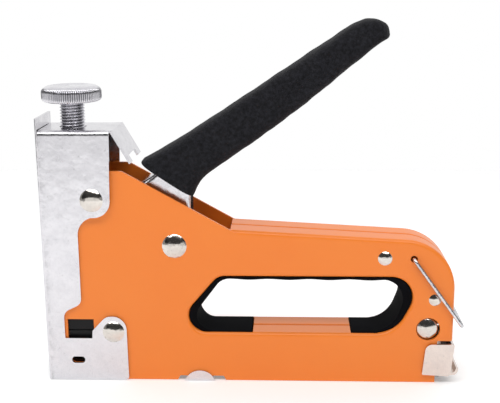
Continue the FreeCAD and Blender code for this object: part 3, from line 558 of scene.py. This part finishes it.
def black_plastic():
    """Smooth moulded plastic, glossier in patches."""
    material, tree, shader = new_material("black_plastic", (0.010, 0.010, 0.011),
                                          metallic=0.0, roughness=0.3)
    where = object_coords(tree)
    mask = clouds(tree, where, patches=200.0, fleck_share=0.4, contrast=2.0)
    tree.links.new(remap(tree, mask, WHOLE, (0.24, 0.4)), shader.inputs["Roughness"])
    tree.links.new(blend_colors(tree, mask, *PLASTIC_TONES), shader.inputs["Base Color"])
    shader.inputs["Specular IOR Level"].default_value = 0.2
    return material


rubber_black = rubber()
foam_black = foam()
plastic_black = black_plastic()
print(len(bpy.data.materials), "materials in all, without the floor's")

# %% [markdown]
# ## Dressing the CAD parts
# The record says which slot each node takes its finish from, so one table from slot to material
# dresses them all.

# %% Finish every CAD node
finish_of_slot = {
    "orange_paint": orange,
    "chrome": chrome,
    "chrome_screw": screw_metal,
    "rivet": rivet_metal,
    "wire": wire_metal,
    "steel": steel,
    "spring_steel": spring_metal,
    "rubber": rubber_black,
    "foam": foam_black,
    "black_plastic": plastic_black,
}
slot_of_node = {part["node"]: part["material_slot"] for part in frame["record"]["subparts"]}
# painted reflection: the end cap takes the warm tint that stands in for the orange paint reflected
# in it
finish_of_node = {"end_cap": cap_painted_reflection}  # stands in the paint's warm glow
for name, node in frame["nodes"].items():
    node.data.materials.clear()
    node.data.materials.append(finish_of_node.get(name, finish_of_slot[slot_of_node[name]]))
print(len(frame["nodes"]), "nodes dressed")

# %% [markdown]
# ## Surfaces from numbers
# Each new piece is a grid of points: rows run along the piece and columns run round it. One helper
# turns such a grid into a mesh, closing it round the columns and capping each end with a fan.

# %% Grid to mesh
def signed_volume(mesh):
    """Volume inside a closed mesh, below zero when its faces point inwards."""
    mesh.calc_loop_triangles()
    corner = np.empty(len(mesh.vertices) * 3)
    mesh.vertices.foreach_get("co", corner)
    corner = corner.reshape(-1, 3)
    index = np.empty(len(mesh.loop_triangles) * 3, int)
    mesh.loop_triangles.foreach_get("vertices", index)
    p, q, r = corner[index.reshape(-1, 3)].transpose(1, 0, 2)
    return float((p * np.cross(q, r)).sum()) / 6


def grid_piece(name, points, material, body, replaced):
    """Mesh from points of shape (rows, columns, 3) in mm. Columns wrap round, and the first and
    the last row are closed by a fan to the ring's middle."""
    rows, columns = points.shape[:2]
    row = np.arange(rows - 1)[:, None]
    column = np.arange(columns)
    following = (column + 1) % columns
    quads = np.stack([row * columns + column, row * columns + following,
                      (row + 1) * columns + following, (row + 1) * columns + column], -1)
    last = (rows - 1) * columns
    first_middle = rows * columns
    first_fan = np.stack([following, column, np.full(columns, first_middle)], -1)
    last_fan = np.stack([last + column, last + following, np.full(columns, first_middle + 1)], -1)
    vertices = np.vstack([points.reshape(-1, 3), points[0].mean(0), points[-1].mean(0)])
    faces = quads.reshape(-1, 4).tolist() + first_fan.tolist() + last_fan.tolist()
    mesh = bpy.data.meshes.new(name)
    mesh.from_pydata((vertices * MM).tolist(), [], faces)
    mesh.update()
    if signed_volume(mesh) < 0:
        mesh.flip_normals()
    mesh.shade_smooth()
    mesh.materials.append(material)
    piece = bpy.data.objects.new(name, mesh)
    bpy.context.scene.collection.objects.link(piece)
    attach(piece, body)
    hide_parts(*replaced)
    print(name, "has", len(mesh.polygons), "faces")
    return piece


def mark(piece, name, values):
    """Stores a number for every grid point of a piece as the attribute name; the caps' middles
    get 0."""
    layer = piece.data.attributes.new(name, "FLOAT", "POINT")
    numbers = np.zeros(len(piece.data.vertices), np.float32)
    numbers[:values.size] = values.ravel()
    layer.data.foreach_set("value", numbers)


def length_along(points):
    """Distance run along a line of points, from 0 at the first."""
    return np.concatenate([[0], np.cumsum(np.linalg.norm(np.diff(points, axis=0), axis=1))])


def smooth_curve(points, count, steps=40):
    """Catmull-Rom curve through points (n, k), spaced evenly by length, as an array (count, k).
    It is first drawn with a number of steps in each span."""
    points = np.asarray(points, float)
    padded = np.vstack([2 * points[0] - points[1], points, 2 * points[-1] - points[-2]])
    spans = len(points) - 1
    t = np.linspace(0, spans, steps * spans + 1)
    i = np.minimum(t.astype(int), spans - 1)
    f = (t - i)[:, None]
    p0, p1, p2, p3 = (padded[i + k] for k in range(4))
    fine = 0.5 * (2 * p1 + (p2 - p0) * f + (2 * p0 - 5 * p1 + 4 * p2 - p3) * f**2
                  + (3 * p1 - p0 - 3 * p2 + p3) * f**3)
    length = length_along(fine)
    even = np.linspace(0, length[-1], count)
    return np.stack([np.interp(even, length, fine[:, k]) for k in range(points.shape[1])], -1)


def rounded_loop(corners, per_side, per_arc):
    """Closed polygon (x, z, radius) with each corner swapped for its tangent arc. Sides and arcs
    are sampled alike, so two loops with as many corners match point for point."""
    spot = np.array([corner[:2] for corner in corners], float)
    radius = np.array([corner[2] for corner in corners], float)
    to_last = np.roll(spot, 1, 0) - spot
    to_next = np.roll(spot, -1, 0) - spot
    to_last /= np.linalg.norm(to_last, axis=1)[:, None]
    to_next /= np.linalg.norm(to_next, axis=1)[:, None]
    half = np.arccos(np.clip((to_last * to_next).sum(1), -1, 1)) / 2
    reach = (radius / np.tan(half))[:, None]
    inward = to_last + to_next
    inward /= np.linalg.norm(inward, axis=1)[:, None]
    centre = spot + inward * (radius / np.sin(half))[:, None]
    start = spot + to_last * reach
    end = spot + to_next * reach
    from_angle = np.arctan2(*(start - centre).T[::-1])
    to_angle = np.arctan2(*(end - centre).T[::-1])
    turn = (to_angle - from_angle + np.pi) % (2 * np.pi) - np.pi
    share = np.linspace(0, 1, per_arc, endpoint=False)
    angle = from_angle[:, None] + turn[:, None] * share
    on_circle = np.stack([np.cos(angle), np.sin(angle)], -1)
    arcs = centre[:, None] + radius[:, None, None] * on_circle
    share = np.linspace(0, 1, per_side, endpoint=False)[None, :, None]
    sides = end[:, None] * (1 - share) + np.roll(start, -1, 0)[:, None] * share
    return np.concatenate([arcs, sides], 1).reshape(-1, 2)


def superellipse(angle, power):
    """Points (cos, sin) of a unit superellipse: a circle at power 2, squarer as it grows."""
    c, s = np.cos(angle), np.sin(angle)
    return np.sign(c) * np.abs(c) ** (2 / power), np.sign(s) * np.abs(s) ** (2 / power)


print("surface helpers ready")

# %% [markdown]
# ## The foam grip
# A tube of closed-cell foam pushed over the lever. Its side view is drawn by two curves, one along
# the back and one along the belly, and each cross-section is a rounded square between them. The
# mouth is a thick rolled lip round the lever, and the far end is closed and rounded off. Gentle
# swellings, a fraction of a millimetre high, keep it from looking turned.

# %% Foam grip
GRIP_BACK = [(43.0, 96.3), (46.2, 98.0), (51.5, 101.0), (62.0, 107.3), (84.0, 121.5),
             (104.0, 134.7), (122.0, 146.5), (133.0, 153.4), (139.5, 154.6), (144.0, 153.2),
             (145.9, 150.8)]
GRIP_BELLY = [(64.9, 81.8), (66.7, 85.6), (70.0, 90.0), (79.0, 96.6), (94.0, 107.1),
              (108.0, 117.5), (121.0, 128.0), (132.0, 137.1), (141.3, 144.6), (145.2, 146.9),
              (146.3, 148.6)]
GRIP_ROWS = 150
GRIP_COLUMNS = 96
grip_low, grip_high = node_box("grip_sleeve")
lever_low, lever_high = node_box("lever")
GRIP_HALF_WIDTH = (grip_high[1] - grip_low[1]) / 2
GRIP_SQUARENESS = 4.2  # power of the superellipse
TIP_RUN = 7.0  # length over which the tip closes
TIP_POWER = 2.6
MOUTH_WIDTH = 0.965  # share of the full width that the mouth has
MOUTH_RUN = 10
SWELL_HEIGHTS = (0.16, 0.09, 0.05)
SWELL_RATES = (0.17, 0.41, 0.9)  # radians per mm along the grip
SWELL_AT_MOUTH = 0.4  # against 1.4 at the tip
SWELL_RUN = 12
SWELL_LEAST_HEIGHT = 4  # half height below which a swelling grows no more
FOAM_WALL = 2.0  # over and under the lever
BORE_GAP = 0.1  # beside it
BORE_HALF = (lever_high[1] - lever_low[1]) / 2 + BORE_GAP
BORE_ROWS = [18, 15, 12, 9, 6, 3, 1]  # rings that line the mouth, the deepest first
AXIS_ROW = 8  # the mouth's axis runs to this ring's middle
LIP = 0.6  # how far the lip bulges out of the mouth
LIP_RINGS = 8


def foam_grip():
    """Rings between the back and the belly curve. A ring is middle + half height * sin + half
    width * cos of a superellipse. The width falls to nothing along a rounded end over the last
    few millimetres. Three waves along and round the grip swell it, at phases chosen freely.
    Gives back the rings and their middles."""
    both = smooth_curve(np.hstack([GRIP_BACK, GRIP_BELLY]), GRIP_ROWS)
    back, belly = both[:, :2], both[:, 2:]
    middle = (back + belly) / 2
    half = (back - belly) / 2
    height = np.linalg.norm(half, axis=1)[:, None]
    along = length_along(middle)[:, None]
    to_tip = np.clip((along[-1] - along) / TIP_RUN, 0, 1)
    from_mouth = np.clip(along / MOUTH_RUN, 0, 1)
    width = (GRIP_HALF_WIDTH * np.sqrt(1 - (1 - to_tip) ** TIP_POWER)
             * (MOUTH_WIDTH + (1 - MOUTH_WIDTH) * from_mouth))
    angle = np.linspace(0, 2 * np.pi, GRIP_COLUMNS, endpoint=False)
    c, s = superellipse(angle, GRIP_SQUARENESS)
    first, second, third = (rate * along for rate in SWELL_RATES)
    swell = (SWELL_HEIGHTS[0] * np.sin(first + 1.3) * np.sin(angle * 2 + 0.4)
             + SWELL_HEIGHTS[1] * np.sin(second + 2.0 * np.sin(angle) + 0.5)
             + SWELL_HEIGHTS[2] * np.sin(third + angle * 3))
    swell = swell * (SWELL_AT_MOUTH + along / along[-1]) * np.clip(along / SWELL_RUN, 0, 1) * to_tip
    grow_w = 1 + swell / GRIP_HALF_WIDTH
    grow_h = 1 + swell / np.maximum(height, SWELL_LEAST_HEIGHT)
    outer = np.stack([
        middle[:, None, 0] + half[:, None, 0] * s * grow_h,
        width * c * grow_w,
        middle[:, None, 1] + half[:, None, 1] * s * grow_h,
    ], -1)
    return outer, middle


def with_mouth(outer, middle):
    """Adds the bore and the lip in front of the first ring. A bore ring is an outer ring drawn in
    to the lever's width across and by the wall up and down; the lip is half an ellipse from the
    first bore ring to the first outer ring."""
    centre = np.stack([middle[:, 0], 0 * middle[:, 0], middle[:, 1]], -1)[:, None]
    spoke = outer - centre
    tall = np.linalg.norm(spoke[..., [0, 2]], axis=-1).max(1)[:, None]
    wide = np.abs(spoke[..., 1]).max(1)[:, None]
    drawn = spoke * np.stack([1 - FOAM_WALL / tall, BORE_HALF / wide, 1 - FOAM_WALL / tall], -1)
    bore = centre + drawn
    axis = centre[AXIS_ROW] - centre[0]
    axis = axis / np.linalg.norm(axis)
    turn = np.linspace(np.pi, 0, LIP_RINGS + 2)[1:-1, None, None]
    lip = ((outer[0] + bore[0]) / 2 + (outer[0] - bore[0]) / 2 * np.cos(turn)
           - axis * LIP * np.sin(turn))
    return np.concatenate([bore[BORE_ROWS], bore[:1], lip, outer])


grip = grid_piece("foam_grip", with_mouth(*foam_grip()), foam_black, "handle",
                  ["grip_sleeve"])

# %% [markdown]
# ## The slot liner
# A moulded rubber strip that lines the finger slot and ends in two flat tails on the lower shelf.
# It is one closed section, a rounded bar, carried along the slot: the outside line lies on the
# steel and the inside line is where the fingers touch. Under the upper arm the inside line waves.

# %% Slot liner
liner_low, liner_high = node_box("grip_liner")
LINER_HALF = (liner_high[1] - liner_low[1]) / 2
TAIL_HALF = LINER_HALF - 0.95  # the tails lie between the shells' face plates
# corners as x, z and radius: upper front, lower front, lower rear, upper rear
SLOT_OUTSIDE = [(75.05, 47.2, 6.4), (53.6, 22.0, 7.6), (150.5, 22.0, 14.0), (163.4, 47.2, 9.0)]
SLOT_INSIDE = [(76.6, 46.2, 7.0), (58.6, 22.25, 7.0), (149.0, 22.25, 13.0), (157.8, 46.2, 9.0)]
SIDE_POINTS = 60
ARC_POINTS = 24
SHELF_TOP = 22.6
SHELF_X = (60, 148)
TAIL_BOTTOM = 19.75
TAIL_FRONT_X = 89.7  # the front tail ends here, and the rear one at the next
TAIL_REAR_X = 132.2
CUT_FRONT_X = 67.2  # the steel is cut out between these two, for the tails to drop through
CUT_REAR_X = 143.4
SHARED_X = (70, 142)  # between these both lines come to have the same x
SHARED_RUN = 8
ARM_Z = 45.6
WAVE_X = (80, 148)
WAVES = 4.0
WAVE_HALF_HEIGHT = 0.22
WIDEN_RUN = 14
BAR_ROUNDING = 0.75
BAR_CORNER_POINTS = 5
THIN_INSIDE = 0.45  # most that a rounding takes of the bar's thickness
THIN_OUTSIDE = 0.2


def slot_liner():
    """Outside line, inside line and half width of the liner at each station, from the end of one
    tail round the slot to the end of the other."""
    outside = rounded_loop(SLOT_OUTSIDE, SIDE_POINTS, ARC_POINTS)
    inside = rounded_loop(SLOT_INSIDE, SIDE_POINTS, ARC_POINTS)
    # start in the middle of the lower shelf and leave out what is between the tails
    mid_shelf = 2 * ARC_POINTS + SIDE_POINTS + SIDE_POINTS // 2
    outside = np.roll(outside, -mid_shelf, 0)
    inside = np.roll(inside, -mid_shelf, 0)
    x, z = outside.T
    on_shelf = (z < SHELF_TOP) & (x > SHELF_X[0]) & (x < SHELF_X[1])
    kept = ~(on_shelf & (x > TAIL_FRONT_X) & (x < TAIL_REAR_X))
    outside, inside, on_shelf = outside[kept], inside[kept], on_shelf[kept]
    # along the shelf both lines come to share x, and the outside line drops through the cut-outs
    x = outside[:, 0]
    tail = on_shelf & (x > CUT_FRONT_X) & (x < CUT_REAR_X)
    to_corner = np.minimum(x - SHARED_X[0], SHARED_X[1] - x)
    shared = np.clip(to_corner / SHARED_RUN, 0, 1) * on_shelf
    inside[:, 0] += (x - inside[:, 0]) * shared
    outside[tail, 1] = TAIL_BOTTOM
    # finger waves under the arm
    x, z = inside.T
    under_arm = (z > ARM_Z) & (x > WAVE_X[0]) & (x < WAVE_X[1])
    wave_turn = (x - WAVE_X[0]) / (WAVE_X[1] - WAVE_X[0]) * 2 * np.pi * WAVES
    inside[under_arm, 1] -= (WAVE_HALF_HEIGHT * (1 - np.cos(wave_turn)))[under_arm]
    # the bar widens smoothly from the tails' width
    run = np.cumsum(np.linalg.norm(np.diff(outside, axis=0, append=outside[:1]), axis=1))
    half_way = run[-1] / 2
    first_tail_end = run[tail & (run < half_way)].max()
    last_tail_start = run[tail & (run > half_way)].min()
    share = np.clip(np.minimum(run - first_tail_end, last_tail_start - run) / WIDEN_RUN, 0, 1)
    return outside, inside, TAIL_HALF + (LINER_HALF - TAIL_HALF) * share * share * (3 - 2 * share)


def barred(outside, inside, half):
    """Sections between two lines, half wide to each side. Corners on the inside line are rounded
    by BAR_ROUNDING, or less where the bar is thin, and those on the outside by a third of it."""
    half = half[:, None]
    depth = inside - outside
    thick = np.linalg.norm(depth, axis=1)[:, None]
    depth = depth / thick
    corner = np.linspace(0, np.pi / 2, BAR_CORNER_POINTS)
    soft_in = np.minimum(BAR_ROUNDING, thick * THIN_INSIDE)
    soft_out = np.minimum(BAR_ROUNDING / 3, thick * THIN_OUTSIDE)
    # a section's coordinates: across is y, and into is the distance from the outside line
    across = np.concatenate([
        -half,
        -half + soft_in * (1 - np.cos(corner)),
        half - soft_in * (1 - np.cos(corner[::-1])),
        half - soft_out * (1 - np.cos(corner)),
        -half + soft_out * (1 - np.cos(corner[::-1])),
    ], 1)
    into = np.concatenate([
        thick * 0.5,
        thick - soft_in * (1 - np.sin(corner)),
        thick - soft_in * (1 - np.sin(corner[::-1])),
        soft_out * (1 - np.sin(corner)),
        soft_out * (1 - np.sin(corner[::-1])),
    ], 1)
    return np.stack([
        outside[:, None, 0] + depth[:, None, 0] * into,
        across,
        outside[:, None, 1] + depth[:, None, 1] * into,
    ], -1)


grid_piece("slot_liner", barred(*slot_liner()), rubber_black, "housing",
           ["grip_liner"])

# %% [markdown]
# ## The power screw
# A thumb screw with a straight knurl and a cut thread. Both are surfaces of revolution whose radius
# is disturbed: the knurl takes away a small wave round the band, and the thread adds a ridge whose
# phase climbs one pitch in every turn, so that it is a true helix and not a stack of rings. How
# deep each point lies is stored with it, and the finish darkens the valleys with painted shade,
# where shade would fall in them.

# %% Knob and thread
KNOB_RADIUS = (knob_high[0] - knob_low[0]) / 2
KNOB_TOP = knob_high[2]
KNOB_HEIGHT = 6.6
# radius, and height over the underside
KNOB_PROFILE = [
    (4.4, 0.05), (8.0, 0), (10.9, 0), (11.9, 0.35), (12.45, 1.0), (12.58, 1.5), (12.6, 2.4),
    (12.6, 3.4), (12.58, 4.2), (12.3, 4.9), (11.7, 5.6), (10.9, 6.2), (10.0, 6.5), (8.8, 6.58),
    (7.6, 6.45), (4.0, 6.3), (0.6, 6.3),
]
KNOB_ROWS = 64
KNURLS = 84
POINTS_PER_KNURL = 6
KNURL_DEPTH = 0.6
BAND_BOTTOM = 0.3  # the knurl comes in from here over the next value
BAND_BOTTOM_RUN = 0.7
BAND_TOP = 5.9
BAND_TOP_RUN = 0.9
BAND_LEAST_RADIUS = 11

THREAD_RADIUS = 5.3
THREAD_DEPTH = 0.75
PITCH = 1.25
THREAD_IN_KNOB = 0.4
ROWS_PER_PITCH = 12
THREAD_COLUMNS = 72
RIDGE_SLOPE = 1.25
RIDGE_SUNK = 0.08
THREAD_END_RUNS = (1.0, 1.2)  # over which the ridge fades out, below and above


def ring_points(radius, height, angle):
    """Points round the screw's axis from arrays of radius, height and angle."""
    return np.stack([screw_x + radius * np.cos(angle), radius * np.sin(angle),
                     height + 0 * angle], -1)


def screw_knob():
    """Smooth profile turned about the axis; on the band the radius drops by a wave of the angle.
    Gives back the points and their depth in the knurl, from 0 to 1."""
    low = KNOB_TOP - KNOB_HEIGHT
    curve = smooth_curve([(radius, low + rise) for radius, rise in KNOB_PROFILE], KNOB_ROWS)
    angle = np.linspace(0, 2 * np.pi, KNURLS * POINTS_PER_KNURL, endpoint=False)[None, :]
    radius, height = curve[:, :1], curve[:, 1:]
    band = (np.clip((height - low - BAND_BOTTOM) / BAND_BOTTOM_RUN, 0, 1)
            * np.clip((low + BAND_TOP - height) / BAND_TOP_RUN, 0, 1)
            * (radius > BAND_LEAST_RADIUS))
    wave = 0.5 - 0.5 * np.cos(angle * KNURLS)
    radius = np.minimum(radius, KNOB_RADIUS) - KNURL_DEPTH * band * wave
    return ring_points(radius, height, angle), band * wave


def screw_thread():
    """Radius = core + depth * ridge of (height / pitch - angle / full turn), fading out at both
    ends. Gives back the points and their depth in the thread, from 0 to 1."""
    low = knob_low[2]
    high = KNOB_TOP - KNOB_HEIGHT + THREAD_IN_KNOB
    height = np.linspace(low, high, int((high - low) / PITCH * ROWS_PER_PITCH))[:, None]
    angle = np.linspace(0, 2 * np.pi, THREAD_COLUMNS, endpoint=False)[None, :]
    phase = (height / PITCH - angle / (2 * np.pi)) % 1
    ridge = np.clip(RIDGE_SLOPE * (1 - np.abs(2 * phase - 1)) - RIDGE_SUNK, 0, 1)
    ends = (np.clip((height - low) / THREAD_END_RUNS[0], 0, 1)
            * np.clip((high - height) / THREAD_END_RUNS[1], 0, 1))
    radius = THREAD_RADIUS - THREAD_DEPTH + THREAD_DEPTH * ridge * ends
    return ring_points(radius, height, angle), 1 - ridge


for name, (points, depth), material in (("screw_knob", screw_knob(), screw_metal),
                                        ("screw_thread", screw_thread(), thread_metal)):
    piece = grid_piece(name, points, material, "screw", ["power_screw"])
    mark(piece, "groove", depth)

# %% [markdown]
# ## Springs
# A coil spring is a round wire carried along a helix: one parameter runs along the wire, the other
# round its section. The end turns lie closer, as ground ends do. The main spring rides on its seat
# and the small one on the magazine slide; neither flattens, so the main spring's foot enters the
# striker when the seat is screwed down.

# %% Coil springs
MAIN_RADIUS = 6.6  # of the coil, to the middle of the wire
MAIN_WIRE = 1.2  # radius
MAIN_TURNS = 6
PUSH_RADIUS = 1.75
PUSH_WIRE = 0.3
PUSH_TURNS = 34
END_PACE = 0.25  # climb of the very ends, against 1 in the middle


def coil_spring(radius, wire, length, turns, per_turn, around):
    """Wire of that radius along a helix on the +Z axis, from 0 to length; the climb is slower
    over the first and last turn."""
    share = np.linspace(0, 1, turns * per_turn + 1)
    pace = np.clip(np.minimum(share, 1 - share) * turns, END_PACE, 1)
    climb = np.concatenate([[0], np.cumsum((pace[1:] + pace[:-1]) / 2)])
    climb = wire + climb / climb[-1] * (length - 2 * wire)
    angle = share * turns * 2 * np.pi
    out = np.stack([np.cos(angle), np.sin(angle), 0 * angle], -1)
    centre = radius * out + np.stack([0 * angle, 0 * angle, climb], -1)
    section = np.linspace(0, 2 * np.pi, around, endpoint=False)
    up = np.array([0, 0, 1.0])
    return (centre[:, None] + wire * np.cos(section)[None, :, None] * out[:, None]
            + wire * np.sin(section)[None, :, None] * up)


main_low, main_high = node_box("main_spring")
main_length = main_high[2] - main_low[2]
main_points = coil_spring(MAIN_RADIUS, MAIN_WIRE, main_length, MAIN_TURNS, per_turn=32, around=10)
main_points += (screw_x, 0, main_low[2])
main_coil = grid_piece("main_coil", main_points, spring_metal, "seat",
                       ["main_spring"])
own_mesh(main_coil)

push_low, push_high = node_box("pusher_spring")
push_length = push_high[0] - push_low[0]
across, upward, forward = coil_spring(PUSH_RADIUS, PUSH_WIRE, push_length, PUSH_TURNS, per_turn=16,
                                      around=8).transpose(2, 0, 1)
push_points = np.stack([forward + push_low[0], across,
                        upward + (push_low[2] + push_high[2]) / 2], -1)
push_coil = grid_piece("pusher_coil", push_points, spring_metal, "magazine_slide",
                       ["pusher_spring"])
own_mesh(push_coil)

# %% [markdown]
# ## Floor
# A plain pale sweep just under the tool.

# %% Floor
FLOOR_REACH = 0.45
FLOOR_GAP = 0.0002  # below the tool
FLOOR_COLOR = (0.90, 0.90, 0.90)
FLOOR_GLOW = 0.26  # lifts it to the white of the backdrop


def pale_floor():
    """Square sheet just under the tool, matt and faintly glowing."""
    mesh = bpy.data.meshes.new("floor")
    level = cad_low.z - FLOOR_GAP
    corners = [(-1, -1), (1, -1), (1, 1), (-1, 1)]
    mesh.from_pydata([(FLOOR_REACH * x, FLOOR_REACH * y, level) for x, y in corners], [],
                     [(0, 1, 2, 3)])
    floor = bpy.data.objects.new("floor", mesh)
    bpy.context.scene.collection.objects.link(floor)
    material, tree, shader = new_material("pale_floor", FLOOR_COLOR, metallic=0.0, roughness=0.8)
    shader.inputs["Emission Color"].default_value = (1, 1, 1, 1)
    shader.inputs["Emission Strength"].default_value = FLOOR_GLOW
    shader.inputs["Specular IOR Level"].default_value = 0.1
    drift = noise(tree, object_coords(tree), scale=4.0)
    tree.links.new(remap(tree, drift, WHOLE, (0.55, 0.7)), shader.inputs["Roughness"])
    mesh.materials.append(material)


pale_floor()
print("floor of", 2 * FLOOR_REACH, "m laid")
